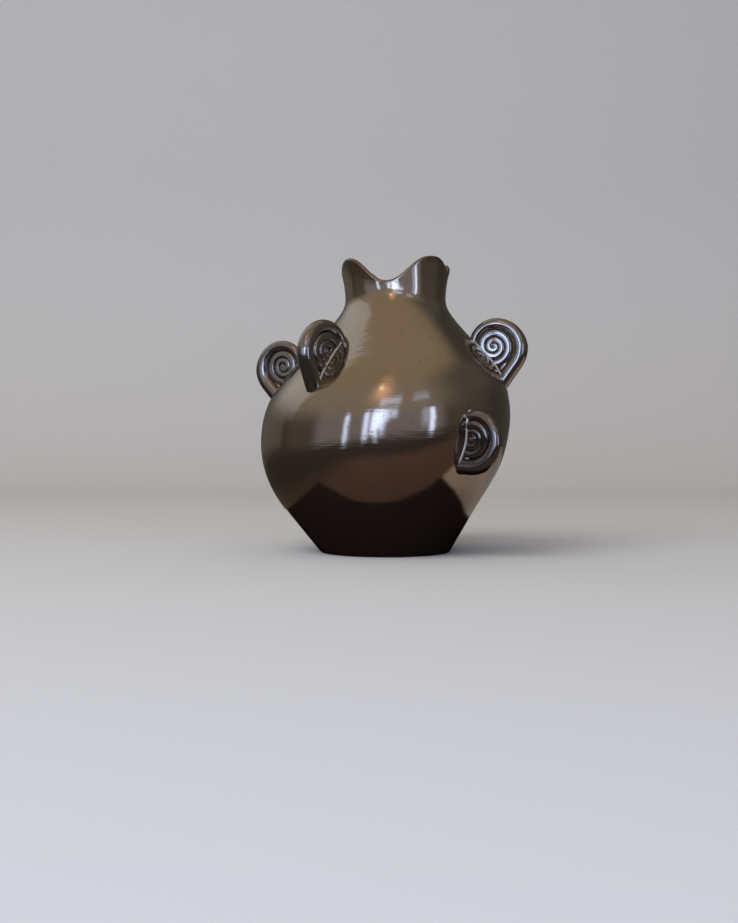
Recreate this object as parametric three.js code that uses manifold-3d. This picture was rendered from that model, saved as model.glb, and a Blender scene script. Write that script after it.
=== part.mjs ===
// A hand-built stoneware vase with a lobed mouth and spiral handles, in millimetres, +Z up.
// The origin is the middle of the flat foot. The front, where the mouth dips lowest, faces -Y,
// and an azimuth is measured from there towards +X.
import * as THREE from 'three';
import { mergeVertices } from 'three/addons/utils/BufferGeometryUtils.js';
import Module from 'manifold-3d';

const wasm = await Module();
wasm.setup();
const degrees = THREE.MathUtils.degToRad;

// Body: radii and heights of the outer surface
const FOOT_RADIUS = 70.6;
const FOOT_BEVEL = 1.4;
const LOWER_WALL_LEAN = degrees(34.7);
const BELLY_RADIUS = 135.7;
const BELLY_HEIGHT = 136.8;
const SHOULDER_RADIUS = 91.4;
const SHOULDER_HEIGHT = 225.4;
const SHOULDER_LEAN = degrees(44.8);
const NECK_RADIUS = 54.9;
const NECK_HEIGHT = 272.7;

// How full each stretch of the outline is: lengths of its curve handles
const LOWER_FULLNESS = [77, 53.3];
const SHOULDER_FULLNESS = [32, 41.5];
const NECK_FULLNESS = [27.7, 8];

// Thickness of the clay
const SLAB_THICKNESS = 9;
const FOOT_WALL = 10;
const BODY_WALL = 7;
const LIP_THICKNESS = 5;

// The pot was not thrown quite true: sideways drift of the axis at each height
const AXIS_DRIFT = [[0, 0], [30, -3.6], [60, -6.5], [110, -2.6], [160, 3.6], [195, 10.6], [222, 11.6], [330, 10.8]];

// Mouth: azimuth in degrees, height of the lip and outward flare, at each crest's ends and each dip
const LIP_STOPS = [
  [-15, 293.2, 0.6],
  [-10, 293.2, 0.6],
  [40, 320.6, 1],
  [51, 321, 1.4],
  [60, 320.4, 1.8],
  [84, 304, 3],
  [103, 316.5, 6.5],
  [128, 318, 5.5],
  [178, 294, 0],
  [225, 317, 4],
  [243, 317, 4.5],
  [266, 304, 3.5],
  [292, 319.2, 5],
  [303, 319.6, 4.5],
  [345, 293.2, 0.6],
];

// The thumb that pressed the two deep dips also pushed the neck in under them
const DEEP_DIPS = [-12, 178];
const DIP_WIDTH = 32;
const THUMB_DENT = 3.6;
const DENT_FROM = 238;
const DENT_FULL = 290;

// Spiral handle, measured in its own plane from the eye of the spiral
const SPIRAL_TURNS = 3.3;
const FIRST_GROOVE = 21;
const GROOVE_TAPER = 1.35;
const TURN_EVENNESS = 0.3;
const TURN_STEP_SIDE = 0.6;
const SPIRAL_START = degrees(-37);
const ROOT_SWELL = 7;
const TAIL_LENGTH = 34;
const TAIL_RADIUS = 8.4;
const TURN_WELD = 0.3;
const EYE_BEAD_RADIUS = 3.2;
const EYE_RISE = 12;
const JOINT_GAP = 0.3;

// Web of slip in the corner between a handle's tail, its first turn and the wall
const WEB_LENGTH = 8;
const WEB_HEIGHT = 5;
const WEB_THICKNESS = 2.4;
const WEB_BACK = 11;
const WEB_DROP = 21;

// Handles, each wound by hand: azimuth and height of the seat on the wall, how far the plane swings
// off the radius, lean of the tail, size beside the others, and how far the eye stands off the wall
const HANDLES = [
  { name: 'handle_upper_right', azimuth: 80, height: 208, swing: 0, tailLean: 16, size: 1, standoff: 10.7 },
  { name: 'handle_upper_left', azimuth: -99, height: 188.5, swing: -16, tailLean: 18, size: 0.95, standoff: 10.6 },
  { name: 'handle_upper_front', azimuth: -42.5, height: 203.5, swing: -2, tailLean: 31, size: 1.05, standoff: 6 },
  { name: 'handle_lower_front', azimuth: 40.3, height: 114.3, swing: 16, tailLean: 6, size: 1, standoff: 4.8 },
  { name: 'handle_upper_back', azimuth: 197, height: 201, swing: 8, tailLean: 16, size: 1.03, standoff: 10 },
  { name: 'handle_lower_back', azimuth: 138, height: 116, swing: -8, tailLean: 10, size: 1, standoff: 8.5 },
];

// Fineness of the facets
const SIDES = 60;
const LOWER_RINGS = 9;
const SHOULDER_RINGS = 10;
const INNER_SHARE = 0.4;
const COLLAR_RINGS = 6;
const LIP_STEPS = 4;
const LEAST_COIL_STEPS = 10;
const COIL_STEPS_PER_REACH = 0.4;
const COIL_SIDES = 8;
const BEAD_RINGS = 4;
const WEB_SIDES = 6;

const GLAZE = new THREE.Color(0x5a4f45);

function glazed(shade) {
  return new THREE.MeshStandardMaterial({
    color: GLAZE.clone().multiplyScalar(shade),
    roughness: 0.16,
    metalness: 0.85,
  });
}

// Outline of the body, as radius and height

function stretch(from, fromLean, fromLength, to, toLean, toLength) {
  const along = (lean, length) => new THREE.Vector2(Math.sin(lean) * length, Math.cos(lean) * length);
  const first = from.clone().add(along(fromLean, fromLength));
  const second = to.clone().sub(along(toLean, toLength));
  return new THREE.CubicBezierCurve(from, first, second, to);
}

const foot = new THREE.Vector2(FOOT_RADIUS, 0);
const belly = new THREE.Vector2(BELLY_RADIUS, BELLY_HEIGHT);
const shoulder = new THREE.Vector2(SHOULDER_RADIUS, SHOULDER_HEIGHT);
const neck = new THREE.Vector2(NECK_RADIUS, NECK_HEIGHT);
const outline = [
  stretch(foot, LOWER_WALL_LEAN, LOWER_FULLNESS[0], belly, 0, LOWER_FULLNESS[1]),
  stretch(belly, 0, SHOULDER_FULLNESS[0], shoulder, -SHOULDER_LEAN, SHOULDER_FULLNESS[1]),
  stretch(shoulder, -SHOULDER_LEAN, NECK_FULLNESS[0], neck, 0, NECK_FULLNESS[1]),
].flatMap((curve) => curve.getPoints(80));

function outerRadius(height) {
  const next = outline.findIndex((point) => point.y > height);
  if (next < 0) return NECK_RADIUS;
  if (next === 0) return FOOT_RADIUS;
  const [below, above] = [outline[next - 1], outline[next]];
  return THREE.MathUtils.mapLinear(height, below.y, above.y, below.x, above.x);
}

function lean(height) {
  const step = 1;
  return Math.atan((outerRadius(height + step) - outerRadius(height - step)) / (2 * step));
}

function wallThickness(height) {
  const footPart = Math.max(0, 1 - height / BELLY_HEIGHT);
  return BODY_WALL + (FOOT_WALL - BODY_WALL) * footPart ** 2;
}

const innerRadius = (height) => outerRadius(height) - wallThickness(height) / Math.cos(lean(height));

const driftCurve = new THREE.SplineCurve(AXIS_DRIFT.map(([height, drift]) => new THREE.Vector2(height, drift)));
const driftPoints = driftCurve.getPoints(140);

function axisDrift(height) {
  const next = Math.max(1, driftPoints.findIndex((point) => point.x > height));
  const [below, above] = [driftPoints[next - 1], driftPoints[next]];
  return THREE.MathUtils.mapLinear(height, below.x, above.x, below.y, above.y);
}

// Points of the pot

const azimuthOf = (side) => (360 * side) / SIDES;

function onPot(azimuth, radius, height) {
  const angle = degrees(azimuth);
  return new THREE.Vector3(axisDrift(height) + radius * Math.sin(angle), -radius * Math.cos(angle), height);
}

function thumbDent(azimuth, height) {
  const beside = DEEP_DIPS.map((dip) => THREE.MathUtils.euclideanModulo(azimuth - dip + 180, 360) - 180);
  const nearness = Math.max(...beside.map((angle) => Math.exp(-((angle / DIP_WIDTH) ** 2))));
  return THUMB_DENT * nearness * THREE.MathUtils.smoothstep(height, DENT_FROM, DENT_FULL);
}

function ring(radius, height) {
  return Array.from({ length: SIDES }, (_, side) => {
    const azimuth = azimuthOf(side);
    return onPot(azimuth, radius - thumbDent(azimuth, height), height);
  });
}

function spread(from, to, count) {
  return Array.from({ length: count + 1 }, (_, index) => from + ((to - from) * index) / count);
}

// Joins rings of points into a closed surface. The rings either come round to the first again,
// or end at two middle points.
function loft(rings, poles) {
  const count = rings[0].length;
  const points = rings.flat();
  const faces = [];
  const spans = poles ? rings.length - 1 : rings.length;
  for (let span = 0; span < spans; span += 1) {
    const lower = span * count;
    const upper = ((span + 1) % rings.length) * count;
    for (let side = 0; side < count; side += 1) {
      const next = (side + 1) % count;
      faces.push(lower + side, lower + next, upper + next);
      faces.push(lower + side, upper + next, upper + side);
    }
  }
  if (poles) {
    const first = points.push(poles[0]) - 1;
    const last = points.push(poles[1]) - 1;
    const top = (rings.length - 1) * count;
    for (let side = 0; side < count; side += 1) {
      const next = (side + 1) % count;
      faces.push(first, next, side);
      faces.push(last, top + side, top + next);
    }
  }
  const geometry = new THREE.BufferGeometry();
  geometry.setAttribute('position', new THREE.Float32BufferAttribute(points.flatMap((p) => p.toArray()), 3));
  geometry.setIndex(faces);
  return geometry;
}

// A stretch of the pot's wall: up the outside and back down the inside
function wall(from, to, count) {
  const outer = spread(from, to, count).map((height) => ring(outerRadius(height), height));
  const inner = spread(to, from, Math.round(count * INNER_SHARE)).map((height) => ring(innerRadius(height), height));
  return loft([...outer, ...inner]);
}

function baseSlab() {
  const rings = [
    ring(FOOT_RADIUS - FOOT_BEVEL, 0),
    ring(outerRadius(FOOT_BEVEL), FOOT_BEVEL),
    ring(outerRadius(SLAB_THICKNESS), SLAB_THICKNESS),
  ];
  return loft(rings, [onPot(0, 0, 0), onPot(0, 0, SLAB_THICKNESS)]);
}

// Mouth

function lipAt(azimuth) {
  const turned = THREE.MathUtils.euclideanModulo(azimuth - LIP_STOPS[0][0], 360) + LIP_STOPS[0][0];
  const next = LIP_STOPS.findIndex((stop, index) => index > 0 && stop[0] >= turned);
  const [from, to] = [LIP_STOPS[next - 1], LIP_STOPS[next]];
  const eased = (1 - Math.cos((Math.PI * (turned - from[0])) / (to[0] - from[0]))) / 2;
  return {
    height: THREE.MathUtils.lerp(from[1], to[1], eased),
    flare: THREE.MathUtils.lerp(from[2], to[2], eased),
  };
}

// A ring of the collar at a share of the way up to the lip, set in from the outer face
function collarRing(share, inset, rise) {
  return Array.from({ length: SIDES }, (_, side) => {
    const azimuth = azimuthOf(side);
    const { height: lipHeight, flare } = lipAt(azimuth);
    const edge = lipHeight - LIP_THICKNESS / 2;
    const height = THREE.MathUtils.lerp(NECK_HEIGHT, edge, share);
    const radius = outerRadius(height) + flare * share ** 2 - thumbDent(azimuth, height) - inset;
    return onPot(azimuth, radius, height + rise);
  });
}

function mouthCollar() {
  const rootWall = wallThickness(NECK_HEIGHT) / Math.cos(lean(NECK_HEIGHT));
  const outer = spread(0, 1, COLLAR_RINGS).map((share) => collarRing(share, 0, 0));
  const half = LIP_THICKNESS / 2;
  const lip = spread(0, Math.PI, LIP_STEPS)
    .slice(1, -1)
    .map((angle) => collarRing(1, half - half * Math.cos(angle), half * Math.sin(angle)));
  const inner = spread(1, 0, COLLAR_RINGS / 2)
    .map((share) => collarRing(share, THREE.MathUtils.lerp(rootWall, LIP_THICKNESS, share), 0));
  return loft([...outer, ...lip, ...inner]);
}

// Spiral handle, wound flat in the XZ plane: +X points away from the pot and +Z up along its wall

// The line where one turn meets the next. The turns are nearly round, and step in to the next
// mostly on the side by the wall.
function groove(turns) {
  const unevenness = (1 - TURN_EVENNESS) / (2 * Math.PI);
  const wound = turns + unevenness * Math.sin(2 * Math.PI * (turns - TURN_STEP_SIDE));
  return FIRST_GROOVE * Math.max(0, 1 - wound / SPIRAL_TURNS) ** GROOVE_TAPER;
}

function coilStation(turns) {
  const swell = ROOT_SWELL * (1 - THREE.MathUtils.clamp(turns, 0, 1)) ** 4;
  const outside = groove(turns - 1) + swell;
  const inside = groove(turns);
  const angle = SPIRAL_START + turns * 2 * Math.PI;
  const reach = (outside + inside) / 2;
  const centre = new THREE.Vector3(Math.cos(angle) * reach, 0, Math.sin(angle) * reach);
  return { turns, reach, centre, radius: (outside - inside) / 2 + TURN_WELD };
}

// From the root of the straight tail, round the turns, to the eye
function coilStations(tailLean) {
  const bend = coilStation((tailLean - Math.PI / 2 - SPIRAL_START) / (2 * Math.PI));
  const inwards = new THREE.Vector3(-Math.cos(tailLean), 0, -Math.sin(tailLean));
  const tail = [1, 0.5].map((share) => ({
    turns: bend.turns,
    centre: bend.centre.clone().addScaledVector(inwards, TAIL_LENGTH * share),
    radius: THREE.MathUtils.lerp(bend.radius, TAIL_RADIUS, share),
  }));
  const stations = [...tail, bend];
  let last = bend;
  while (last.turns < SPIRAL_TURNS) {
    const step = 1 / (LEAST_COIL_STEPS + COIL_STEPS_PER_REACH * last.reach);
    last = coilStation(Math.min(SPIRAL_TURNS, last.turns + step));
    stations.push(last);
  }
  return stations;
}

function coilRings(stations) {
  return stations.map(({ centre, radius }, index) => {
    const before = stations[Math.max(0, index - 1)].centre;
    const after = stations[Math.min(stations.length - 1, index + 1)].centre;
    const forward = after.clone().sub(before).normalize();
    const across = new THREE.Vector3(forward.z, 0, -forward.x);
    return Array.from({ length: COIL_SIDES }, (_, side) => {
      const angle = (side / COIL_SIDES) * 2 * Math.PI;
      return centre.clone()
        .addScaledVector(across, Math.cos(angle) * radius)
        .add(new THREE.Vector3(0, Math.sin(angle) * radius, 0));
    });
  });
}

function toSolid(geometry) {
  const bare = geometry.clone();
  bare.deleteAttribute('normal');
  bare.deleteAttribute('uv');
  const merged = mergeVertices(bare, 1e-4);
  return new wasm.Manifold(new wasm.Mesh({
    numProp: 3,
    vertProperties: new Float32Array(merged.attributes.position.array),
    triVerts: new Uint32Array(merged.index.array),
  }));
}

function toGeometry(solid) {
  const mesh = solid.getMesh();
  const geometry = new THREE.BufferGeometry();
  geometry.setAttribute('position', new THREE.BufferAttribute(mesh.vertProperties, 3));
  geometry.setIndex(new THREE.BufferAttribute(mesh.triVerts, 1));
  return geometry;
}

function slipWeb(tailLean) {
  const web = new THREE.SphereGeometry(1, WEB_SIDES, WEB_SIDES / 2);
  web.scale(WEB_LENGTH, WEB_THICKNESS, WEB_HEIGHT);
  web.translate(-WEB_BACK, 0, -WEB_DROP);
  return web.rotateY(-tailLean);
}

// The coil is joined from half turns, because its turns touch each other. Its pinched end is a bead.
function spiralSolid(tailLean) {
  const stations = coilStations(tailLean);
  const rings = coilRings(stations);
  const first = stations[0].turns;
  const halfTurns = Math.ceil((SPIRAL_TURNS - first) / 0.5);
  const endOf = (half) => stations.findLastIndex(({ turns }) => turns <= first + half * 0.5);
  let spiral = toSolid(new THREE.SphereGeometry(EYE_BEAD_RADIUS, COIL_SIDES, BEAD_RINGS));
  for (let half = 0; half < halfTurns; half += 1) {
    const start = half ? endOf(half) : 0;
    const end = endOf(half + 1);
    const poles = [stations[start].centre, stations[end].centre];
    spiral = spiral.add(toSolid(loft(rings.slice(start, end + 1), poles)));
  }
  return spiral.add(toSolid(slipWeb(tailLean)));
}

// The filled shape of the pot, grown by the joint gap, that trims each handle to the wall
function trimmingSolid() {
  const lower = spread(SLAB_THICKNESS, BELLY_HEIGHT, LOWER_RINGS);
  const upper = spread(BELLY_HEIGHT, NECK_HEIGHT, SHOULDER_RINGS).slice(1);
  const rings = [...lower, ...upper].map((height) => ring(outerRadius(height) + JOINT_GAP / Math.cos(lean(height)), height));
  return toSolid(loft(rings, [onPot(0, 0, SLAB_THICKNESS), onPot(0, 0, NECK_HEIGHT)]));
}

function handlePlacement({ azimuth, height, swing, size, standoff }) {
  const seat = onPot(azimuth, outerRadius(height), height);
  const facing = degrees(azimuth + swing);
  const outward = new THREE.Vector3(Math.sin(facing), -Math.cos(facing), 0);
  const tilt = -lean(height);
  const away = outward.clone().multiplyScalar(Math.cos(tilt)).add(new THREE.Vector3(0, 0, Math.sin(tilt)));
  const up = outward.clone().multiplyScalar(-Math.sin(tilt)).add(new THREE.Vector3(0, 0, Math.cos(tilt)));
  const eye = seat.addScaledVector(away, standoff).addScaledVector(up, EYE_RISE);
  const placement = new THREE.Matrix4().makeBasis(away, up.clone().cross(away), up).setPosition(eye);
  return placement.scale(new THREE.Vector3(size, size, size));
}

// The turns leave specks of air between them where they touch, which real clay has closed
function outerShell(solid) {
  const shells = solid.decompose();
  return shells.reduce((largest, shell) => (shell.volume() > largest.volume() ? shell : largest));
}

function handle(place, trim) {
  const placement = handlePlacement(place);
  const localTrim = trim.transform(placement.clone().invert().toArray());
  const spiral = outerShell(spiralSolid(degrees(place.tailLean)).subtract(localTrim));
  const mesh = new THREE.Mesh(toGeometry(spiral), glazed(0.9));
  mesh.name = place.name;
  mesh.applyMatrix4(placement);
  return mesh;
}

function piece(name, geometry, shade) {
  const mesh = new THREE.Mesh(geometry, glazed(shade));
  mesh.name = name;
  return mesh;
}

const vase = new THREE.Group();
vase.add(piece('base_slab', baseSlab(), 0.5));
vase.add(piece('lower_wall', wall(SLAB_THICKNESS, BELLY_HEIGHT, LOWER_RINGS), 0.6));
vase.add(piece('shoulder_wall', wall(BELLY_HEIGHT, NECK_HEIGHT, SHOULDER_RINGS), 1));
vase.add(piece('mouth_collar', mouthCollar(), 1.1));

const handles = new THREE.Group();
const trim = trimmingSolid();
handles.add(...HANDLES.map((place) => handle(place, trim)));
vase.add(handles);

export default vase;
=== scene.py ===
# %% [markdown]
# # A hand-built vase with spiral handles
#
# The vase is stoneware, built by hand from a slab, a swelling wall and a short collar, with rolled
# coils wound into spirals and stuck on as handles. A dark bronze lustre glaze covers all of it, so
# its look is mostly what it mirrors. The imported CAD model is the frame, and finer pieces of the
# same sizes are built here and dressed with the glaze.

# %% The frame
import math

import bmesh
import bpy
import numpy as np
from mathutils import Matrix, Vector, noise


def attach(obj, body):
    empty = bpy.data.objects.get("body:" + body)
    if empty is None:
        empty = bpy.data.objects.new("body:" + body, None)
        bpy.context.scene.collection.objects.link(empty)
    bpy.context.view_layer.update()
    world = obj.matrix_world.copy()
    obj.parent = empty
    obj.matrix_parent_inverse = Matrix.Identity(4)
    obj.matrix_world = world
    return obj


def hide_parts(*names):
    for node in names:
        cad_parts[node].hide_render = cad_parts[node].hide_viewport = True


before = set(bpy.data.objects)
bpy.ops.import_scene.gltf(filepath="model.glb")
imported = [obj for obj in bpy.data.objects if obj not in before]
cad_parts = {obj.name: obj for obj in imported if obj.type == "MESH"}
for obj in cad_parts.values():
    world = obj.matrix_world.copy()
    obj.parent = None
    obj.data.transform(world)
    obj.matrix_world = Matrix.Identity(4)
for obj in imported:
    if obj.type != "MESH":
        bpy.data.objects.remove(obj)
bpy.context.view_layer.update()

# %% [markdown]
# The camera stands a little under the belly's height, about a metre and a half away, and looks
# almost level, so the foot shows as a nearly straight line and the mouth is seen edge-on.

# %% The camera
CAMERA_DISTANCE = 1.5884
CAMERA_HEIGHT = 0.1386
CAMERA_LENS = 56.32
LOOK_DOWN = math.radians(1.41)
LOOK_LEFT = math.radians(0.645)

camera_data = bpy.data.cameras.new("camera")
camera_data.lens = CAMERA_LENS
camera_data.clip_end = 50
camera = bpy.data.objects.new("camera", camera_data)
camera.location = (0, -CAMERA_DISTANCE, CAMERA_HEIGHT)
camera.rotation_euler = (math.pi / 2 - LOOK_DOWN, 0, LOOK_LEFT)
bpy.context.scene.collection.objects.link(camera)
bpy.context.scene.camera = camera
bpy.context.scene.view_settings.view_transform = "Standard"

# %% [markdown]
# Two small helpers carry all the node work. `Term` wraps a socket, so that Python's signs add Math
# nodes, and `Tree` adds any other node from its type, its settings and what its sockets get.

# %% Node helpers
class Term:
    """A socket that Python's arithmetic signs add Math nodes to."""

    def __init__(self, tree, socket):
        self.tree = tree
        self.socket = socket

    def maths(self, operation, *others):
        node = self.tree.add("ShaderNodeMath", {"operation": operation}, {})
        for place, value in enumerate((self, *others)):
            self.tree.feed(node.inputs[place], value)
        return Term(self.tree, node.outputs[0])

    def flipped(self, operation, other):
        node = self.tree.add("ShaderNodeMath", {"operation": operation}, {0: other, 1: self})
        return Term(self.tree, node.outputs[0])

    def __add__(self, other): return self.maths("ADD", other)
    def __radd__(self, other): return self.flipped("ADD", other)
    def __sub__(self, other): return self.maths("SUBTRACT", other)
    def __rsub__(self, other): return self.flipped("SUBTRACT", other)
    def __mul__(self, other): return self.maths("MULTIPLY", other)
    def __rmul__(self, other): return self.flipped("MULTIPLY", other)
    def __truediv__(self, other): return self.maths("DIVIDE", other)
    def __pow__(self, other): return self.maths("POWER", other)

    def clamped(self, low=0, high=1):
        return self.maths("MAXIMUM", low).maths("MINIMUM", high)


class Tree:
    """Adds nodes to a shader or geometry tree."""

    def __init__(self, tree):
        self.tree = tree

    def feed(self, socket, value):
        if isinstance(value, Term):
            self.tree.links.new(value.socket, socket)
        elif isinstance(value, bpy.types.NodeSocket):
            self.tree.links.new(value, socket)
        else:
            socket.default_value = value

    def add(self, kind, settings, inputs):
        node = self.tree.nodes.new(kind)
        for name, value in settings.items():
            setattr(node, name, value)
        for place, value in inputs.items():
            self.feed(node.inputs[place], value)
        return node

    def term(self, kind, settings, inputs, output=0):
        return Term(self, self.add(kind, settings, inputs).outputs[output])

    def smoothed(self, value, low, high):
        settings = {"interpolation_type": "SMOOTHSTEP"}
        return self.term("ShaderNodeMapRange", settings, {"Value": value, "From Min": low, "From Max": high})

    def mixed(self, share, first, second, blend="MIX"):
        node = self.add("ShaderNodeMix", {"data_type": "RGBA", "blend_type": blend}, {0: share, 6: first, 7: second})
        return node.outputs[2]

    def ramp(self, share, stops):
        node = self.add("ShaderNodeValToRGB", {}, {0: share})
        band = node.color_ramp
        while len(band.elements) < len(stops):
            band.elements.new(0.5)
        for element, (place, colour) in zip(band.elements, stops):
            element.position = place
            element.color = (*colour, 1)
        return node.outputs[0]

# %% [markdown]
# The wall's outline is the CAD model's: three smooth stretches from the foot to the belly, to the
# shoulder and to the neck. It was not thrown quite true, so its axis drifts sideways on the way up.

# %% The outline of the wall, in millimetres
FOOT_RADIUS = 70.6
FOOT_BEVEL = 1.4
BELLY = (135.7, 136.8)
SHOULDER = (91.4, 225.4)
NECK = (54.9, 272.7)
LOWER_LEAN = math.radians(34.7)
SHOULDER_LEAN = math.radians(44.8)
SLAB_THICKNESS = 9
FOOT_WALL = 10
BODY_WALL = 7
LIP_THICKNESS = 5
AXIS_DRIFT = ((0, 0), (30, -3.6), (60, -6.5), (110, -2.6), (160, 3.6), (195, 10.6), (222, 11.6), (330, 10.8))


def stretch(start, start_lean, start_pull, end, end_lean, end_pull):
    """One smooth stretch of the outline, as a cubic curve of radius and height."""
    near = (start[0] + math.sin(start_lean) * start_pull, start[1] + math.cos(start_lean) * start_pull)
    far = (end[0] - math.sin(end_lean) * end_pull, end[1] - math.cos(end_lean) * end_pull)
    share = np.linspace(0, 1, 241)[:, None]
    corners = [np.array(corner) for corner in (start, near, far, end)]
    weights = [(1 - share) ** 3, 3 * share * (1 - share) ** 2, 3 * share ** 2 * (1 - share), share ** 3]
    return sum(weight * corner for weight, corner in zip(weights, corners))


outline = np.concatenate([
    stretch((FOOT_RADIUS, 0), LOWER_LEAN, 77, BELLY, 0, 53.3),
    stretch(BELLY, 0, 32, SHOULDER, -SHOULDER_LEAN, 41.5)[1:],
    stretch(SHOULDER, -SHOULDER_LEAN, 27.7, NECK, 0, 8)[1:],
])


def outer_radius(height):
    return float(np.interp(height, outline[:, 1], outline[:, 0]))


def lean(height):
    return math.atan((outer_radius(height + 1) - outer_radius(height - 1)) / 2)


def wall_thickness(height):
    return BODY_WALL + (FOOT_WALL - BODY_WALL) * max(0, 1 - height / BELLY[1]) ** 2


def inner_radius(height):
    return outer_radius(height) - wall_thickness(height) / math.cos(lean(height))


def spline(points):
    """The smooth line that runs through all the points, as dense samples."""
    points = np.array(points, float)
    padded = np.concatenate([points[:1], points, points[-1:]])
    samples = []
    for a, b, c, d in zip(padded, padded[1:], padded[2:], padded[3:]):
        share = np.linspace(0, 1, 40, endpoint=False)[:, None]
        pull_in, pull_out = (c - a) / 2, (d - b) / 2
        samples.append((2 * b - 2 * c + pull_in + pull_out) * share ** 3
                       + (3 * c - 3 * b - 2 * pull_in - pull_out) * share ** 2 + pull_in * share + b)
    return np.concatenate([*samples, points[-1:]])


drift_line = spline(AXIS_DRIFT)


def axis_drift(height):
    return float(np.interp(height, drift_line[:, 0], drift_line[:, 1]))


print("belly", BELLY, "neck", NECK, "drift at the mouth", round(axis_drift(300), 1))

# %% [markdown]
# The mouth is cut into lobes with dips between them. Each stop below is a crest's end or a dip: its
# azimuth, its height and how far the lip flares there. A cosine eases from each to the next.

# %% The lobed mouth
LIP_STOPS = (
    (-15, 293.2, 0.6), (-10, 293.2, 0.6), (40, 320.6, 1), (51, 321, 1.4), (60, 320.4, 1.8), (84, 304, 3),
    (103, 316.5, 6.5), (128, 318, 5.5), (178, 294, 0), (225, 317, 4), (243, 317, 4.5), (266, 304, 3.5),
    (292, 319.2, 5), (303, 319.6, 4.5), (345, 293.2, 0.6),
)


LIP_SOFTNESS = 6


def cut_lip(azimuth):
    turned = (azimuth - LIP_STOPS[0][0]) % 360 + LIP_STOPS[0][0]
    for start, end in zip(LIP_STOPS, LIP_STOPS[1:]):
        if turned <= end[0]:
            eased = (1 - math.cos(math.pi * (turned - start[0]) / (end[0] - start[0]))) / 2
            return start[1] + (end[1] - start[1]) * eased, start[2] + (end[2] - start[2]) * eased
    return LIP_STOPS[-1][1:]


def softened(values, softness, **padding):
    """Values on even steps, averaged with their neighbours by a bell curve."""
    steps = np.arange(-3 * softness, 3 * softness + 1)
    weights = np.exp(-0.5 * (steps / softness) ** 2)
    padded = np.pad(values, 3 * softness, **(padding or {"mode": "wrap"}))
    return np.convolve(padded, weights / weights.sum(), mode="valid")


cut = np.array([cut_lip(azimuth) for azimuth in range(360)])
soft_height, soft_flare = softened(cut[:, 0], LIP_SOFTNESS), softened(cut[:, 1], LIP_SOFTNESS)


def lip_at(azimuth):
    """The lip's height and flare, as a wet sponge leaves them after the cut."""
    degrees = np.arange(361)
    turned = azimuth % 360
    return (float(np.interp(turned, degrees, np.append(soft_height, soft_height[0]))),
            float(np.interp(turned, degrees, np.append(soft_flare, soft_flare[0]))))

# %% [markdown]
# The skin is one closed sheet of rings: up the outside, over the rounded lip and down the inside to
# the floor of the pot. Fingers leave shallow hollows and rings in the wall, and on a mirror glaze
# even a third of a millimetre bends the reflections, so they are real in the mesh. An attribute
# marks where the glaze runs thin: on the lip and round the foot.

# %% The skin
MILLIMETRE = 0.001
SKIN_SIDES = 288
AZIMUTHS = [360 * side / SKIN_SIDES for side in range(SKIN_SIDES)]
HOLLOW_DEPTH = 0.35
HOLLOW_SCALE = 34
RING_DEPTH = 0.05
RING_SPACING = 9


def on_pot(azimuth, radius, height):
    angle = math.radians(azimuth)
    return (axis_drift(height) + radius * math.sin(angle), -radius * math.cos(angle), height)


def hand_marks(azimuth, radius, height):
    """How far the outer face lies inside the true outline: finger hollows and throwing rings."""
    place = Vector(on_pot(azimuth, radius, height))
    hollow = 0.5 + 0.5 * noise.noise(place / HOLLOW_SCALE)
    wander = 2.2 * noise.noise(place / 60)
    ring = 0.5 + 0.5 * math.sin(2 * math.pi * (height / RING_SPACING + wander))
    return HOLLOW_DEPTH * hollow + RING_DEPTH * ring


DEEP_DIPS = (-12, 178)
DIP_WIDTH = 32


def dip_at(azimuth):
    """How near an azimuth is to one of the two deep dips, from 0 to 1."""
    return max(math.exp(-(((azimuth - dip + 180) % 360 - 180) / DIP_WIDTH) ** 2) for dip in DEEP_DIPS)


# Under a dip the neck goes on narrowing up to the lip, and under a crest it flares out again.
# Both are drawn as one line for each azimuth and softened, because the glaze shows every kink.
# The thumb that pressed a dip also pushed the neck in under it.
# The two stretches that meet at the shoulder bend opposite ways, so they are blended more broadly.
NECK_DRAW = 12
NECK_SOFTNESS = 9
THUMB_DENT = 3.6
DENT_FROM, DENT_FULL = 238, 290
SHOULDER_SOFTNESS = 24
SHOULDER_SPAN = 18
NECK_STEP = 0.5
NECK_FLOOR = 190
neck_heights = np.arange(NECK_FLOOR, 345, NECK_STEP)


def neck_line(azimuth):
    lip_height, flare = lip_at(azimuth)
    reach = NECK[1] - SHOULDER[1]
    drawn = SHOULDER[1] + (neck_heights - SHOULDER[1]) * reach / (reach + NECK_DRAW * dip_at(azimuth))
    heights = np.where(neck_heights > SHOULDER[1], np.minimum(drawn, NECK[1]), neck_heights)
    share = np.clip((neck_heights - NECK[1]) / (lip_height - LIP_THICKNESS / 2 - NECK[1]), 0, 1.4)
    pressed = np.clip((neck_heights - DENT_FROM) / (DENT_FULL - DENT_FROM), 0, 1)
    dent = THUMB_DENT * dip_at(azimuth) * pressed ** 2 * (3 - 2 * pressed)
    radii = np.interp(heights, outline[:, 1], outline[:, 0]) + flare * share ** 2 - dent
    odd = {"mode": "reflect", "reflect_type": "odd"}
    fine, broad = softened(radii, NECK_SOFTNESS, **odd), softened(radii, SHOULDER_SOFTNESS, **odd)
    return fine + (broad - fine) * np.exp(-((neck_heights - SHOULDER[1]) / SHOULDER_SPAN) ** 2)


neck_lines = {azimuth: neck_line(azimuth) for azimuth in AZIMUTHS}


def neck_radius(azimuth, height):
    return float(np.interp(height, neck_heights, neck_lines[azimuth]))


def ring(radius, height, marks=0):
    return [on_pot(a, radius - marks * hand_marks(a, radius, height), height) for a in AZIMUTHS]


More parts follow.
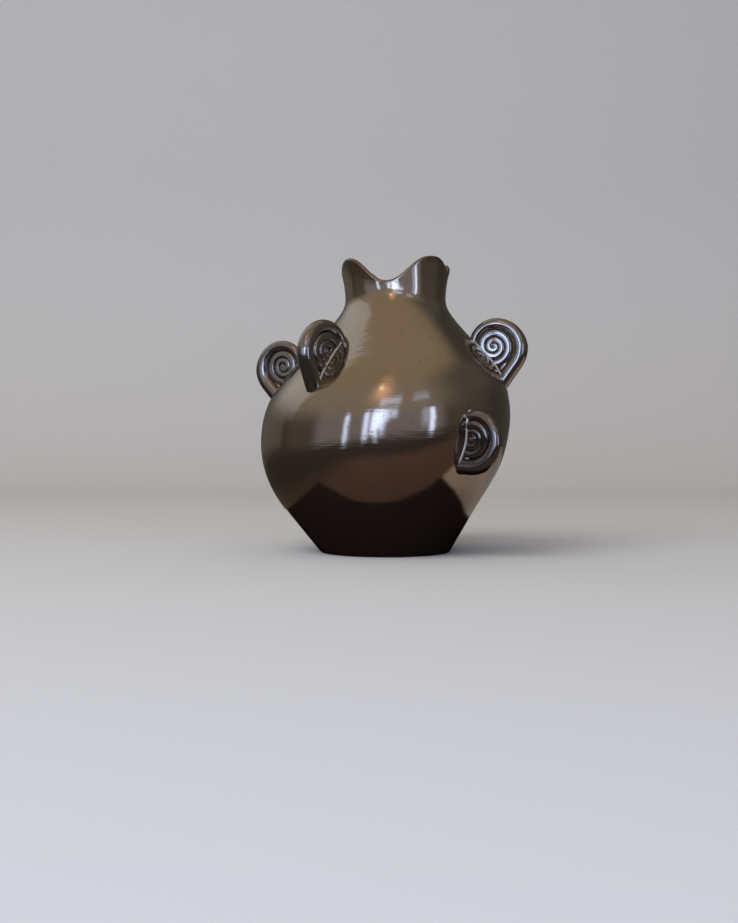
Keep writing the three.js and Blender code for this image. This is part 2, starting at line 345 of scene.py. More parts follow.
def neck_ring(height):
    points = []
    for azimuth in AZIMUTHS:
        radius = neck_radius(azimuth, height)
        points.append(on_pot(azimuth, radius - hand_marks(azimuth, radius, height), height))
    return points


def collar_ring(share, inset, rise, marks=0):
    points = []
    for azimuth in AZIMUTHS:
        lip_height = lip_at(azimuth)[0]
        height = NECK[1] + (lip_height - LIP_THICKNESS / 2 - NECK[1]) * share
        radius = neck_radius(azimuth, height) - inset
        points.append(on_pot(azimuth, radius - marks * hand_marks(azimuth, radius, height), height + rise))
    return points


def closed_sheet(name, rings, first_pole, last_pole):
    """A closed mesh from rings of points in millimetres, with a fan at each end."""
    count = len(rings[0])
    points = [point for loop in rings for point in loop] + [first_pole, last_pole]
    first, last, top = len(points) - 2, len(points) - 1, (len(rings) - 1) * count
    faces = []
    for side in range(count):
        after = (side + 1) % count
        for row in range(0, top, count):
            faces.append((row + side, row + after, row + count + after, row + count + side))
        faces.append((first, after, side))
        faces.append((last, top + side, top + after))
    mesh = bpy.data.meshes.new(name)
    mesh.from_pydata([[value * MILLIMETRE for value in point] for point in points], [], faces)
    mesh.shade_smooth()
    body = bpy.data.objects.new(name, mesh)
    bpy.context.scene.collection.objects.link(body)
    return body


bevel = [(FOOT_RADIUS - FOOT_BEVEL * (1 - math.sin(turn)), FOOT_BEVEL * (1 - math.cos(turn)))
         for turn in np.linspace(0, math.pi / 2, 5)[:-1]]
half_lip = LIP_THICKNESS / 2
EDGE_REACH = 0.12
rings, thin_glaze = [], []


def lay(ring_points, thinness=0):
    rings.append(ring_points)
    thin_glaze.extend([thinness] * SKIN_SIDES)


for radius, height in bevel:
    lay(ring(radius, height), 0.6)
for height in np.linspace(FOOT_BEVEL + 0.6, NECK_FLOOR, 90):
    lay(ring(outer_radius(height), height, min(1, height / 12)))
for height in np.linspace(NECK_FLOOR, NECK[1], 46)[1:]:
    lay(neck_ring(height))
for share in np.linspace(0, 1, 22)[1:]:
    lay(collar_ring(share, 0, 0, 1 - share ** 4), max(0, 1 - (1 - share) / EDGE_REACH) ** 2)
for turn in np.linspace(0, math.pi, 12)[1:-1]:
    lay(collar_ring(1, half_lip - half_lip * math.cos(turn), half_lip * math.sin(turn)), 1)
for share in np.linspace(1, 0, 12):
    inset = BODY_WALL + (LIP_THICKNESS - BODY_WALL) * share
    lay(collar_ring(share, inset, 0), max(0, 1 - (1 - share) / EDGE_REACH) ** 2)
for height in np.linspace(NECK[1], SLAB_THICKNESS, 60)[1:]:
    lay(ring(inner_radius(height), height))
skin = closed_sheet("glazed_body", rings, (0, 0, 0), (axis_drift(SLAB_THICKNESS), 0, SLAB_THICKNESS))
skin.data.attributes.new("thin_glaze", "FLOAT", "POINT").data.foreach_set("value", [*thin_glaze, 0, 0])
print("skin", len(skin.data.polygons), "faces")

# %% [markdown]
# Each handle is a tapered coil of clay, wound flat into a spiral and stuck on edge-on. The coil
# follows a rule, so a Geometry Nodes tree makes it: the line between two turns runs in to the eye as
# a power of the turns wound, each coil fills the space between two such lines, and a straight tail
# leads from the wall into the first turn. A flat palette presses the inner turns, which leaves
# each of them a broad face and a dark crescent outside it, and it may press them at a slight tilt.
# The wall then trims the coil.

# %% The tree that winds a handle
SPIRAL = {
    "Turns": 3.3, "First Groove": 21, "Groove Taper": 1.35, "Evenness": 0.3, "Step Side": 0.6,
    "Start": math.radians(-37), "Root Swell": 7, "Tail Length": 34, "Tail Radius": 8.4, "Weld": 0.3,
    "Bead Radius": 3.2, "Tail Lean": 0.3, "Size": 1, "Press Tilt": 0,
}
COIL_POINTS = 420
COIL_SIDES = 28
TAIL_SHARE = 0.06
FLAT_FROM = 0.35
FLAT_OVER = 0.6
FLAT_CORNER = 6
WEB_LENGTH, WEB_HEIGHT, WEB_THICKNESS = 8, 5, 2.4
WEB_BACK, WEB_DROP = 11, 21

coil_group = bpy.data.node_groups.new("wound_coil", "GeometryNodeTree")
coil_group.interface.new_socket("Geometry", in_out="INPUT", socket_type="NodeSocketGeometry")
coil_group.interface.new_socket("Geometry", in_out="OUTPUT", socket_type="NodeSocketGeometry")
for label in SPIRAL:
    coil_group.interface.new_socket(label, in_out="INPUT", socket_type="NodeSocketFloat")
for label in ("Eye", "Away", "Up"):
    coil_group.interface.new_socket(label, in_out="INPUT", socket_type="NodeSocketVector")
coil_group.interface.new_socket("Wall", in_out="INPUT", socket_type="NodeSocketObject")
coil_group.interface.new_socket("Glaze", in_out="INPUT", socket_type="NodeSocketMaterial")

tree = Tree(coil_group)
given = tree.add("NodeGroupInput", {}, {})
size_of = {label: Term(tree, given.outputs[label]) for label in SPIRAL}


def groove(turns):
    """The reach of the line between two turns."""
    uneven = (1 - size_of["Evenness"]) / (2 * math.pi)
    swing = ((turns - size_of["Step Side"]) * (2 * math.pi)).maths("SINE")
    left = (1 - (turns + uneven * swing) / size_of["Turns"]).maths("MAXIMUM", 0)
    return size_of["First Groove"] * left ** size_of["Groove Taper"]


bend = (size_of["Tail Lean"] - math.pi / 2 - size_of["Start"]) / (2 * math.pi)
share = tree.term("GeometryNodeInputIndex", {}, {}) / (COIL_POINTS - 1)
along_tail = (share / TAIL_SHARE).clamped()
turns = bend + (size_of["Turns"] - bend) * ((share - TAIL_SHARE) / (1 - TAIL_SHARE)).clamped()
swell = size_of["Root Swell"] * (1 - turns.clamped()) ** 4
outside = groove(turns - 1) + swell
inside = groove(turns)
angle = size_of["Start"] + turns * (2 * math.pi)
reach = (outside + inside) / 2
coil_radius = (outside - inside) / 2 + size_of["Weld"]
radius = coil_radius + (size_of["Tail Radius"] - coil_radius) * (1 - along_tail)
tail_reach = size_of["Tail Length"] * (1 - along_tail)
away_by = (angle.maths("COSINE") * reach - size_of["Tail Lean"].maths("COSINE") * tail_reach) * size_of["Size"]
up_by = (angle.maths("SINE") * reach - size_of["Tail Lean"].maths("SINE") * tail_reach) * size_of["Size"]


def scaled(vector, amount):
    return tree.add("ShaderNodeVectorMath", {"operation": "SCALE"}, {0: vector, "Scale": amount}).outputs[0]


def summed(first, second):
    return tree.add("ShaderNodeVectorMath", {"operation": "ADD"}, {0: first, 1: second}).outputs[0]


def measured(vector, direction):
    return tree.term("ShaderNodeVectorMath", {"operation": "DOT_PRODUCT"}, {0: vector, 1: direction}, output=1)


def stored(geometry, name, value):
    settings = {"data_type": "FLOAT", "domain": "POINT"}
    return tree.add("GeometryNodeStoreNamedAttribute", settings,
                    {"Geometry": geometry, "Name": name, "Value": value}).outputs[0]


def read_back(name):
    return tree.term("GeometryNodeInputNamedAttribute", {"data_type": "FLOAT"}, {"Name": name})


def in_plane(away_by, up_by, across_by):
    """A place from its three measures in the plane of the spiral, which starts at the eye."""
    sideways = summed(scaled(given.outputs["Away"], away_by), scaled(given.outputs["Up"], up_by))
    return summed(given.outputs["Eye"], summed(sideways, scaled(across, across_by)))


across = tree.add("ShaderNodeVectorMath", {"operation": "CROSS_PRODUCT"},
                  {0: given.outputs["Up"], 1: given.outputs["Away"]}).outputs[0]
position = tree.add("GeometryNodeInputPosition", {}, {}).outputs[0]


line = tree.add("GeometryNodeCurvePrimitiveLine", {}, {})
points = tree.add("GeometryNodeResampleCurve", {}, {"Curve": line.outputs[0], "Count": COIL_POINTS})
route = in_plane(away_by, up_by, 0)
placed = tree.add("GeometryNodeSetPosition", {}, {"Geometry": points.outputs[0], "Position": route})
thick = tree.add("GeometryNodeSetCurveRadius", {}, {"Curve": placed.outputs[0], "Radius": radius * size_of["Size"]})
marked = stored(thick.outputs[0], "coil_reach", reach * size_of["Size"])
marked = stored(marked, "coil_radius", radius * size_of["Size"])
marked = stored(marked, "flatness", ((turns - FLAT_FROM) / FLAT_OVER).clamped())
circle = tree.add("GeometryNodeCurvePrimitiveCircle", {}, {"Resolution": COIL_SIDES, "Radius": 1})
tube = tree.add("GeometryNodeCurveToMesh", {},
                {"Curve": marked, "Profile Curve": circle.outputs[0], "Fill Caps": True})
if "Scale" in tube.inputs:
    tree.feed(tube.inputs["Scale"], radius * size_of["Size"])

# Inside its crest each turn is pressed flat, and outside it falls away round to the next groove
local = tree.add("ShaderNodeVectorMath", {"operation": "SUBTRACT"}, {0: position, 1: given.outputs["Eye"]}).outputs[0]
stand = measured(local, across)
distance = (measured(local, given.outputs["Away"]) ** 2 + measured(local, given.outputs["Up"]) ** 2) ** 0.5
inward = ((read_back("coil_reach") - distance) / read_back("coil_radius")).clamped()
pressed = read_back("coil_radius") * (1 - inward ** FLAT_CORNER) ** (1 / FLAT_CORNER) * stand.maths("SIGN")
lift = (pressed - stand) * inward.maths("GREATER_THAN", 0)
tilted = measured(local, given.outputs["Up"]) * size_of["Press Tilt"]
lift = (lift - tilted) * read_back("flatness")
flattened = tree.add("GeometryNodeSetPosition", {}, {"Geometry": tube.outputs[0], "Offset": scaled(across, lift)})

# A web of slip closes the corner between the tail, the first turn and the wall
ball = tree.add("GeometryNodeMeshUVSphere", {}, {"Segments": 32, "Rings": 18, "Radius": 1})
ball_axes = tree.add("ShaderNodeSeparateXYZ", {}, {0: position}).outputs
along = Term(tree, ball_axes[0]) * WEB_LENGTH - WEB_BACK
beside = Term(tree, ball_axes[1]) * WEB_HEIGHT - WEB_DROP
lean_cosine, lean_sine = size_of["Tail Lean"].maths("COSINE"), size_of["Tail Lean"].maths("SINE")
web_place = in_plane((along * lean_cosine - beside * lean_sine) * size_of["Size"],
                     (along * lean_sine + beside * lean_cosine) * size_of["Size"],
                     Term(tree, ball_axes[2]) * size_of["Size"] * -WEB_THICKNESS)
web = tree.add("GeometryNodeSetPosition", {}, {"Geometry": ball.outputs[0], "Position": web_place})

bead = tree.add("GeometryNodeMeshUVSphere", {},
                {"Segments": 32, "Rings": 20, "Radius": size_of["Bead Radius"] * size_of["Size"]})
set_bead = tree.add("GeometryNodeTransform", {}, {"Geometry": bead.outputs[0], "Translation": given.outputs["Eye"]})
wall_info = tree.add("GeometryNodeObjectInfo", {}, {"Object": given.outputs["Wall"]})


def trimmed(geometry):
    node = tree.add("GeometryNodeMeshBoolean", {"operation": "DIFFERENCE", "solver": "MANIFOLD"}, {0: geometry})
    tree.tree.links.new(wall_info.outputs["Geometry"], node.inputs[1])
    return node.outputs[0]


both = tree.add("GeometryNodeJoinGeometry", {}, {})
for part in (flattened, web, set_bead):
    tree.tree.links.new(trimmed(part.outputs[0]), both.inputs[0])
real = tree.add("GeometryNodeRealizeInstances", {}, {"Geometry": both.outputs[0]})
smooth = tree.add("GeometryNodeSetShadeSmooth", {}, {0: real.outputs[0]})
dressed = tree.add("GeometryNodeSetMaterial", {}, {"Geometry": smooth.outputs[0], "Material": given.outputs["Glaze"]})
finished = tree.add("NodeGroupOutput", {}, {})
tree.tree.links.new(dressed.outputs[0], finished.inputs[0])
print("coil tree", len(coil_group.nodes), "nodes")

# %% [markdown]
# The glaze is a lustre: nearly a metal mirror. It is pale taupe over the shoulder and runs to a dark
# brown below the belly, a painted reflection of the dark ground under the vase, and it breaks to warm
# brown along edges. Fine pits, specks and the level lines of the brush are in its roughness and its
# normal, and the lines smear each mirrored light up and down. The handles are painted darker low down
# in the same way. Over the slip at the joints it is painted pale and half matt: a painted highlight.

# %% The lustre glaze
def lustre(name, colours, metallic, roughness, coat, brush):
    """A mirror-like glaze whose colour goes by the height on the pot, with specks and pits."""
    material = bpy.data.materials.new(name)
    material.use_nodes = True
    material.node_tree.nodes.clear()
    nodes = Tree(material.node_tree)
    place = nodes.add("ShaderNodeTexCoord", {}, {}).outputs["Object"]
    height = nodes.term("ShaderNodeSeparateXYZ", {}, {0: place}, output=2)
    cloud = nodes.term("ShaderNodeTexNoise", {}, {"Vector": place, "Scale": 14, "Detail": 4})
    fine = nodes.term("ShaderNodeTexNoise", {}, {"Vector": place, "Scale": 260, "Detail": 3})
    level = height + (cloud - 0.5) * 0.05
    colour = nodes.ramp(level / 0.33, colours)
    speckle = nodes.smoothed(fine, 0.62, 0.72)
    colour = nodes.mixed(speckle * 0.35, colour, (0.05, 0.035, 0.025, 1))
    pit_field = nodes.term("ShaderNodeTexVoronoi", {}, {"Vector": place, "Scale": 120})
    pits = 1 - nodes.smoothed(pit_field, 0.03, 0.09)
    waves = nodes.term("ShaderNodeTexNoise", {}, {"Vector": place, "Scale": 55, "Detail": 2})
    layered = nodes.add("ShaderNodeMapping", {}, {"Vector": place, "Scale": (1, 1, 90)}).outputs[0]
    brush_lines = nodes.term("ShaderNodeTexNoise", {}, {"Vector": layered, "Scale": 14, "Detail": 2})
    relief = waves * 0.6 - pits * 0.4 + brush_lines * brush
    bump = nodes.add("ShaderNodeBump", {}, {"Height": relief, "Strength": 0.05, "Distance": 0.001})
    edge = nodes.term("ShaderNodeAttribute", {"attribute_name": "thin_glaze"}, {}, output=2)
    colour = nodes.mixed(edge * 0.5, colour, (0.13, 0.09, 0.065, 1))
    rough = roughness + (cloud - 0.5) * 0.06 + speckle * 0.12 + edge * 0.1
    shader = nodes.add("ShaderNodeBsdfPrincipled", {}, {
        "Base Color": colour, "Metallic": metallic, "Roughness": rough,
        "Coat Weight": coat, "Coat Roughness": 0.04, "Normal": bump.outputs[0],
    })
    nodes.add("ShaderNodeOutputMaterial", {}, {0: shader.outputs[0]})
    return material


# Darker toward the foot: a painted reflection of the dark ground under the vase.
BODY_COLOURS_AND_PAINTED_REFLECTION = (
    (0.0, (0.20, 0.145, 0.11)), (0.2, (0.22, 0.165, 0.125)), (0.36, (0.255, 0.197, 0.145)),
    (0.50, (0.285, 0.23, 0.17)), (0.64, (0.305, 0.247, 0.18)), (0.86, (0.30, 0.24, 0.175)),
    (0.96, (0.27, 0.205, 0.145)),
)
# Darker low down, so the lower handles carry a painted reflection of the dark below them.
HANDLE_COLOURS_AND_PAINTED_REFLECTION = (
    (0.0, (0.13, 0.11, 0.10)), (0.4, (0.15, 0.13, 0.117)), (0.6, (0.22, 0.195, 0.168)),
    (0.8, (0.23, 0.20, 0.17)),
)
# Pale: a painted highlight along each slip cove.
COVE_PAINTED_HIGHLIGHT_COLOURS = ((0.0, (0.40, 0.36, 0.32)), (1.0, (0.50, 0.46, 0.40)))
body_glaze = lustre("body_lustre_glaze", BODY_COLOURS_AND_PAINTED_REFLECTION, 0.95, 0.08, 0.3, 1.5)
handle_glaze = lustre("handle_lustre_glaze", HANDLE_COLOURS_AND_PAINTED_REFLECTION, 0.95, 0.07, 0.3, 0.4)
cove_painted_highlight_glaze = lustre("cove_painted_highlight", COVE_PAINTED_HIGHLIGHT_COLOURS, 0.5, 0.30, 0.2, 0)
skin.data.materials.append(body_glaze)

# %% The handles
HANDLES = {
    "handle_upper_right": (80, 208, 0, 16, 1, 10.7, 0),
    "handle_upper_left": (-99, 188.5, -16, 18, 0.95, 10.6, 0),
    "handle_upper_front": (-42.5, 203.5, -2, 31, 1.05, 6, 0),
    "handle_lower_front": (40.3, 114.3, 16, 6, 1, 4.8, 0.11),
    "handle_upper_back": (197, 201, 8, 16, 1.03, 10, 0),
    "handle_lower_back": (138, 116, -8, 10, 1, 8.5, 0),
}
EYE_RISE = 12
SEAT_DEPTH = 1.6

seat_heights = np.linspace(12, NECK[1] - 1, 110)
seat_rings = [ring(outer_radius(height) - SEAT_DEPTH / math.cos(lean(height)), height) for height in seat_heights]
wall_cutter = closed_sheet("wall_cutter", seat_rings, on_pot(0, 0, seat_heights[0]), on_pot(0, 0, seat_heights[-1]))


def wind_handle(name, azimuth, height, swing, tail_lean, size, standoff, press_tilt):
    facing = math.radians(azimuth + swing)
    outward = Vector((math.sin(facing), -math.cos(facing), 0))
    tilt = -lean(height)
    away = outward * math.cos(tilt) + Vector((0, 0, math.sin(tilt)))
    up = -outward * math.sin(tilt) + Vector((0, 0, math.cos(tilt)))
    eye = Vector(on_pot(azimuth, outer_radius(height), height)) + away * standoff + up * EYE_RISE
    sizes = {**SPIRAL, "Tail Lean": math.radians(tail_lean), "Size": size * MILLIMETRE,
             "Press Tilt": press_tilt}
    holder = bpy.data.objects.new(name + "_winding", bpy.data.meshes.new(name + "_winding"))
    bpy.context.scene.collection.objects.link(holder)
    modifier = holder.modifiers.new("winding", "NODES")
    modifier.node_group = coil_group
    values = {**sizes, "Eye": tuple(eye * MILLIMETRE), "Away": tuple(away), "Up": tuple(up),
              "Wall": wall_cutter, "Glaze": handle_glaze}
    for item in coil_group.interface.items_tree:
        if item.in_out == "INPUT" and item.name in values:
            modifier[item.identifier] = values[item.name]
    bpy.context.view_layer.update()
    evaluated = holder.evaluated_get(bpy.context.evaluated_depsgraph_get())
    mesh = bpy.data.meshes.new_from_object(evaluated)
    mesh.name = "coil_" + name
    bpy.data.objects.remove(holder)
    for label in ("coil_reach", "coil_radius", "flatness"):
        if label in mesh.attributes:
            mesh.attributes.remove(mesh.attributes[label])
    handle = bpy.data.objects.new("coil_" + name, mesh)
    bpy.context.scene.collection.objects.link(handle)
    low = [round(min(v.co[axis] for v in mesh.vertices) * 1000, 1) for axis in range(3)]
    high = [round(max(v.co[axis] for v in mesh.vertices) * 1000, 1) for axis in range(3)]
    print(name, len(mesh.polygons), "faces", low, high)
    placement = Matrix((away, up.cross(away), up)).transposed().to_4x4()
    placement.translation = eye
    return handle, placement


def above_wall(point):
    """How far a point in millimetres stands off the outer face of the wall."""
    radius = math.hypot(point[0] - axis_drift(point[2]), point[1])
    return (radius - outer_radius(point[2])) * math.cos(lean(point[2]))


# %% [markdown]
# Where a handle meets the wall, the potter smooths slip into the corner with a wet brush. It leaves
# a thin hollow cove all round the joint, coloured pale and half matt as a painted highlight line along it.

# %% The slip coves
COVE_RADIUS = 0.7
COVE_STATIONS = 64
COVE_SMOOTHING = 13
COVE_ARC = 6
COVE_ROOT = 2.4


def joint_outline(name, placement):
    """The half-width of a handle where it meets the wall, by the place along the joint."""
    across, along = [], []
    for vertex in bpy.data.objects["coil_" + name].data.vertices:
        point = vertex.co / MILLIMETRE
        if 0.3 < above_wall(point) < 2.5:
            local = placement.inverted() @ point
            across.append(abs(local.y))
            along.append(local.z)
    across, along = np.array(across), np.array(along)
    low, high = along.min() - 0.4, along.max() + 0.4
    places = np.linspace(low, high, 41)
    reach = (high - low) / 40
    widths = np.array([max([*across[abs(along - place) < reach * 1.5], 2.5]) for place in places])
    padded = np.pad(widths, COVE_SMOOTHING // 2, mode="edge")
    return low, high, places, np.convolve(padded, np.ones(COVE_SMOOTHING) / COVE_SMOOTHING, mode="valid")


def on_wall(placement, across, along, height):
    """The point over a place of the joint's plane, at a height off the wall."""
    low, high = -60.0, 40.0
    for _ in range(26):
        middle = (low + high) / 2
        if above_wall(placement @ Vector((middle, across, along))) > 0:
            high = middle
        else:
            low = middle
    seat = placement @ Vector((high, across, along))
    tilt = -lean(seat.z)
    outward = Vector((seat.x - axis_drift(seat.z), seat.y, 0)).normalized()
    return seat + (outward * math.cos(tilt) + Vector((0, 0, math.sin(tilt)))) * height


def slip_cove(name, placement):
    low, high, places, widths = joint_outline(name, placement)
    middle, half = (low + high) / 2, (high - low) / 2
    loop = []
    for turn in np.linspace(0, 2 * math.pi, 2 * COVE_STATIONS, endpoint=False):
        along = middle - half * math.cos(turn)
        rounding = math.sqrt(max(0, 1 - abs(math.cos(turn)) ** 5))
        loop.append((math.copysign(1, math.sin(turn)) * rounding * float(np.interp(along, places, widths)), along))
    loop = np.array(loop)
    ahead = np.roll(loop, -1, axis=0) - np.roll(loop, 1, axis=0)
    outward = np.stack([ahead[:, 1], -ahead[:, 0]], axis=1)
    outward /= np.linalg.norm(outward, axis=1)[:, None]
    section = [(COVE_RADIUS * (1 - math.sin(turn)), COVE_RADIUS * (1 - math.cos(turn)))
               for turn in np.linspace(0, math.pi / 2, COVE_ARC)]
    section = [(-COVE_ROOT, -1.2), (COVE_RADIUS, -0.5), *section, (-COVE_ROOT, COVE_RADIUS)]
    points = []
    for place, direction in zip(loop, outward):
        for offset, height in section:
            across, along = place + direction * offset
            points.append(on_wall(placement, across, along, height) * MILLIMETRE)
    count = len(section)
    faces = []
    for station in range(len(loop)):
        after = (station + 1) % len(loop)
        for step in range(count):
            forth = (step + 1) % count
            faces.append((station * count + step, station * count + forth, after * count + forth, after * count + step))
    mesh = bpy.data.meshes.new("cove_" + name)
    mesh.from_pydata(points, [], faces)
    work = bmesh.new()
    work.from_mesh(mesh)
    bmesh.ops.recalc_face_normals(work, faces=work.faces)
    work.to_mesh(mesh)
    work.free()
    mesh.shade_smooth()
    mesh.materials.append(cove_painted_highlight_glaze)
    cove = bpy.data.objects.new("cove_" + name, mesh)
    bpy.context.scene.collection.objects.link(cove)
    print("cove", name, "length", round(high - low, 1), "widest", round(float(widths.max()), 1))
    return cove


for name, place in HANDLES.items():
    handle, placement = wind_handle(name, *place)
    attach(handle, "root")
    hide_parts(name)
    cove = slip_cove(name, placement)
    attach(cove, "root")
bpy.data.objects.remove(wall_cutter)

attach(skin, "root")
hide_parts("base_slab", "lower_wall", "shoulder_wall", "mouth_collar")

# %% [markdown]
# A pale sweep of card stands for the floor and the wall behind, as in a potter's photo corner.

# %% The floor and the backdrop
FLOOR_REACH = 6
WALL_DISTANCE = 2.2
SWEEP_RADIUS = 0.8


def sweep():
    """A floor that curves up into a wall behind the vase."""
    profile = [(-FLOOR_REACH, 0), (WALL_DISTANCE - SWEEP_RADIUS, 0)]
    profile += [(WALL_DISTANCE - SWEEP_RADIUS + SWEEP_RADIUS * math.sin(turn), SWEEP_RADIUS * (1 - math.cos(turn)))
                for turn in np.linspace(0, math.pi / 2, 24)[1:]]
    profile.append((WALL_DISTANCE, 4))
    points = [(side * FLOOR_REACH, depth, height) for depth, height in profile for side in (-1, 1)]
    faces = [(2 * row, 2 * row + 1, 2 * row + 3, 2 * row + 2) for row in range(len(profile) - 1)]
    mesh = bpy.data.meshes.new("floor")
    mesh.from_pydata(points, [], faces)
    mesh.shade_smooth()
    floor = bpy.data.objects.new("floor", mesh)
    bpy.context.scene.collection.objects.link(floor)
    return floor


def matt_card(name, shade):
    """Matt card in the colour that shade gives. Mirror rays pass through what is raised or far away."""
    material = bpy.data.materials.new(name)
    material.use_nodes = True
    material.node_tree.nodes.clear()
    nodes = Tree(material.node_tree)
    place = nodes.add("ShaderNodeNewGeometry", {}, {}).outputs["Position"]
    x, y, z = (Term(nodes, socket) for socket in nodes.add("ShaderNodeSeparateXYZ", {}, {0: place}).outputs)
    far = nodes.smoothed((x * x + y * y) ** 0.5, CARD_REACH, CARD_REACH + 0.1)
    mirror_ray = Term(nodes, nodes.add("ShaderNodeLightPath", {}, {}).outputs["Is Glossy Ray"])
    share = mirror_ray * nodes.smoothed(z, 0.01, 0.08).maths("MAXIMUM", far)
    paper = nodes.add("ShaderNodeBsdfPrincipled", {}, {"Roughness": 1, "Specular IOR Level": 0})
    nodes.feed(paper.inputs["Base Color"], shade(nodes, x, y))
    clear = nodes.add("ShaderNodeBsdfTransparent", {}, {})
    both = nodes.add("ShaderNodeMixShader", {}, {0: share, 1: paper.outputs[0], 2: clear.outputs[0]})
    nodes.add("ShaderNodeOutputMaterial", {}, {0: both.outputs[0]})
    return material


CARD_REACH = 0.9
CARD_COLOUR = (0.60, 0.612, 0.615, 1)
floor = sweep()
floor.data.materials.append(matt_card("pale_card", lambda nodes, x, y: CARD_COLOUR))

# %% [markdown]
# A mirror glaze shows its surroundings, so a photographer lays dark cards round it, outside the
# picture, to give the pot its depth. A near black one lies under the vase. One before it and one
# beside it run from brown in front to dark on the left, and one on the right runs from light to
# grey at the back. The camera doesn't see them, and they cast no shadow: only the glaze mirrors them.

# %% The dark cards
UNDER_COLOUR = (0.015, 0.006, 0.005, 1)
BROWN_COLOUR = (0.21, 0.14, 0.11, 1)
DARK_COLOUR = (0.062, 0.05, 0.043, 1)
LIGHT_COLOUR = (0.84, 0.77, 0.68, 1)
DIM_COLOUR = (0.36, 0.35, 0.33, 1)


def under_shade(nodes, x, y):
    return UNDER_COLOUR


def light_shade(nodes, x, y):
    return nodes.mixed(nodes.smoothed(y, 0.02, 0.3), LIGHT_COLOUR, DIM_COLOUR)


def side_shade(nodes, x, y):
    brown = nodes.smoothed(x, -0.28, -0.06) * nodes.smoothed(y, -0.46, -0.31)
    return nodes.mixed(brown, DARK_COLOUR, BROWN_COLOUR)


UNDER_LEFT, UNDER_RIGHT, UNDER_FRONT, UNDER_BACK = -0.165, 0.15, -0.135, 0.175
CARDS = {
    "card_under": ((UNDER_LEFT, UNDER_FRONT), (UNDER_RIGHT, UNDER_BACK), under_shade),
    "card_before": ((-1, -1), (1, UNDER_FRONT), side_shade),
    "card_beside": ((-1, UNDER_FRONT), (UNDER_LEFT, 0.9), side_shade),
    "card_right": ((UNDER_RIGHT, UNDER_FRONT), (1, 0.9), light_shade),
}
CARD_LEVEL = 0.0006
for name, (low, high, shade) in CARDS.items():
    corners = [(low[0], low[1]), (high[0], low[1]), (high[0], high[1]), (low[0], high[1])]
    mesh = bpy.data.meshes.new(name)
    mesh.from_pydata([(*corner, CARD_LEVEL) for corner in corners], [], [(0, 1, 2, 3)])
    mesh.materials.append(matt_card(name, shade))
    flag = bpy.data.objects.new(name, mesh)
    bpy.context.scene.collection.objects.link(flag)
    flag.visible_camera = False
    flag.visible_diffuse = False
    flag.visible_shadow = False

# %% [markdown]
# The light is a soft room. A pale wall fills its left and back, its right is dark, the ceiling is a
# warm brown, and a lamp on it leaves an amber glow. Cool window panes stand behind the camera. They
# light the vase a little, and above all they are what the belly, the neck and the coils mirror.

# %% The room
world = bpy.data.worlds.new("room")
bpy.context.scene.world = world
world.use_nodes = True
world.node_tree.nodes.clear()
room = Tree(world.node_tree)
direction = room.add("ShaderNodeTexCoord", {}, {}).outputs["Generated"]
parts = room.add("ShaderNodeSeparateXYZ", {}, {0: direction})
side, depth, rise = (Term(room, socket) for socket in parts.outputs)
azimuth = side.maths("ARCTAN2", depth * -1) * math.degrees(1)
elevation = rise.maths("ARCSINE") * math.degrees(1)

CEILING = (0.52, 0.435, 0.325, 1)
DIM_CEILING = (0.36, 0.30, 0.23, 1)
LEFT_WALL = (0.50, 0.45, 0.40, 1)
RIGHT_WALL = (0.16, 0.15, 0.135, 1)
BACK_WALL = (0.80, 0.82, 0.87, 1)
LOW_WALL = (0.14, 0.13, 0.118, 1)
CURTAINS = (0.42, 0.42, 0.50, 1)
FAR_FLOOR = (0.07, 0.06, 0.053, 1)
DARK_CORNER = (0.075, 0.07, 0.062, 1)
WALL_BEHIND = (0.20, 0.19, 0.172, 1)
AMBER = (1.9, 1.27, 0.87, 1)

before = room.smoothed(azimuth, -74, -60) * (1 - room.smoothed(azimuth, 46, 60))
glow_aside, glow_aloft = (azimuth + 10) / 10, (elevation - 47) / 13
glow = (0 - (glow_aside * glow_aside + glow_aloft * glow_aloft)).maths("EXPONENT")
round_by = azimuth.maths("ABSOLUTE")
upper = room.mixed(room.smoothed(azimuth, 25, 85), LEFT_WALL, RIGHT_WALL)
upper = room.mixed(room.smoothed(round_by, 110, 140), upper, DARK_CORNER)
ceiling = room.mixed(room.smoothed(side, 0.3, 0.7), CEILING, DIM_CEILING)
upper = room.mixed(room.smoothed(elevation, 44, 62), upper, ceiling)
behind = (1 - room.smoothed(azimuth, -102, -94)) * (1 - room.smoothed(azimuth * -1, 128, 178))
upper = room.mixed(behind, upper, BACK_WALL)
lower = room.mixed(room.smoothed(azimuth, -115, -92), DARK_CORNER, LOW_WALL)
lower = room.mixed(room.smoothed(azimuth, 92, 118), lower, DARK_CORNER)
behind_low = room.smoothed(azimuth * -1, 106, 114) * (1 - room.smoothed(azimuth * -1, 120, 178))
lower = room.mixed(behind_low, lower, WALL_BEHIND)
lower = room.mixed(before, lower, CURTAINS)
floor_edge = elevation - room.smoothed(azimuth * -1, 90, 106) * 2.5
lower = room.mixed(room.smoothed(floor_edge, -9, -3), FAR_FLOOR, lower)
room_colour = room.mixed(room.smoothed(elevation, 7, 31), lower, upper)
room_colour = room.mixed(glow, room_colour, AMBER)
room_light = room.add("ShaderNodeBackground", {}, {"Color": room_colour, "Strength": 1})
room.add("ShaderNodeOutputWorld", {}, {0: room_light.outputs[0]})

# %% [markdown]
# Each pane is given by the angles it fills as seen from the vase, and by how bright it looks. Trees
# outside hide the foot of the middle panes. A beam parts the tall panes from the dim ones above.

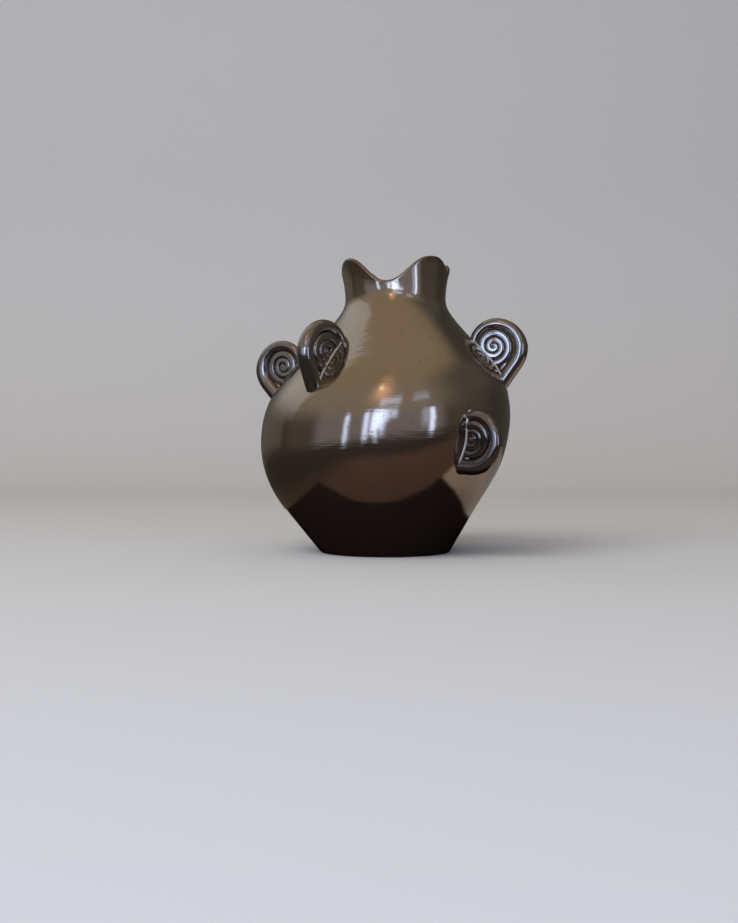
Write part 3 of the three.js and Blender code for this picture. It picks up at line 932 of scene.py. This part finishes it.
# %% The lamps
LAMP_DISTANCE = 2.4
EYE_LEVEL = 0.14
WINDOW_COLOUR = (0.45, 0.64, 1.1)
WINDOWS = (
    (-37, -33.5, -9, 19, 4.2), (-20, -15.5, -7, 21, 4.6), (-13, -9, -3, 22, 6.0), (-9, -7, -8, 22, 6.4),
    (-7, -4, 1, 22, 6.2), (-4, -1.5, -4, 22, 5.0), (-1.5, 2, 7, 22, 3.6), (2, 9.5, 11, 22, 2.4),
    (31, 38, 0, 18, 1.0), (38.5, 43, -6, 18, 5.2), (-9, 12, 27, 37, 1.6), (24, 40, 27, 36, 0.8),
)


def area_lamp(name, azimuth, rise, distance, shape, width, height, radiance, colour):
    """A lamp that faces the vase. Its power follows from how bright it looks."""
    data = bpy.data.lights.new(name, "AREA")
    data.shape = shape
    data.size = width
    if shape == "RECTANGLE":
        data.size_y = height
    area = width * height if shape == "RECTANGLE" else math.pi * width * width / 4
    data.energy = radiance * math.pi * area
    data.color = colour
    lamp = bpy.data.objects.new(name, data)
    azimuth, rise = math.radians(azimuth), math.radians(rise)
    lamp.location = (distance * math.cos(rise) * math.sin(azimuth), -distance * math.cos(rise) * math.cos(azimuth),
                     EYE_LEVEL + distance * math.sin(rise))
    lamp.rotation_euler = (math.pi / 2 - rise, 0, azimuth)
    lamp.visible_camera = False
    bpy.context.scene.collection.objects.link(lamp)
    return lamp


for number, (start, end, low, high, brightness) in enumerate(WINDOWS):
    width = 2 * LAMP_DISTANCE * math.tan(math.radians(end - start) / 2)
    bottom, top = (LAMP_DISTANCE * math.tan(math.radians(angle)) for angle in (low, high))
    pane = area_lamp(f"window_{number}", (start + end) / 2, 0, LAMP_DISTANCE, "RECTANGLE", width, top - bottom,
                     brightness, WINDOW_COLOUR)
    pane.location.z = EYE_LEVEL + (bottom + top) / 2

bulb = area_lamp("bulb", -13, 50, LAMP_DISTANCE, "DISK", 0.16, 0.16, 3.2, (1.0, 0.86, 0.70))

# A broad soft lamp brings the card and the floor to a plain level. The glaze doesn't mirror it.
soft_lamp = area_lamp("soft_lamp", -40, 42, 3.6, "RECTANGLE", 2.2, 2.2, 4.2, (1.0, 0.99, 0.97))
soft_lamp.visible_glossy = False
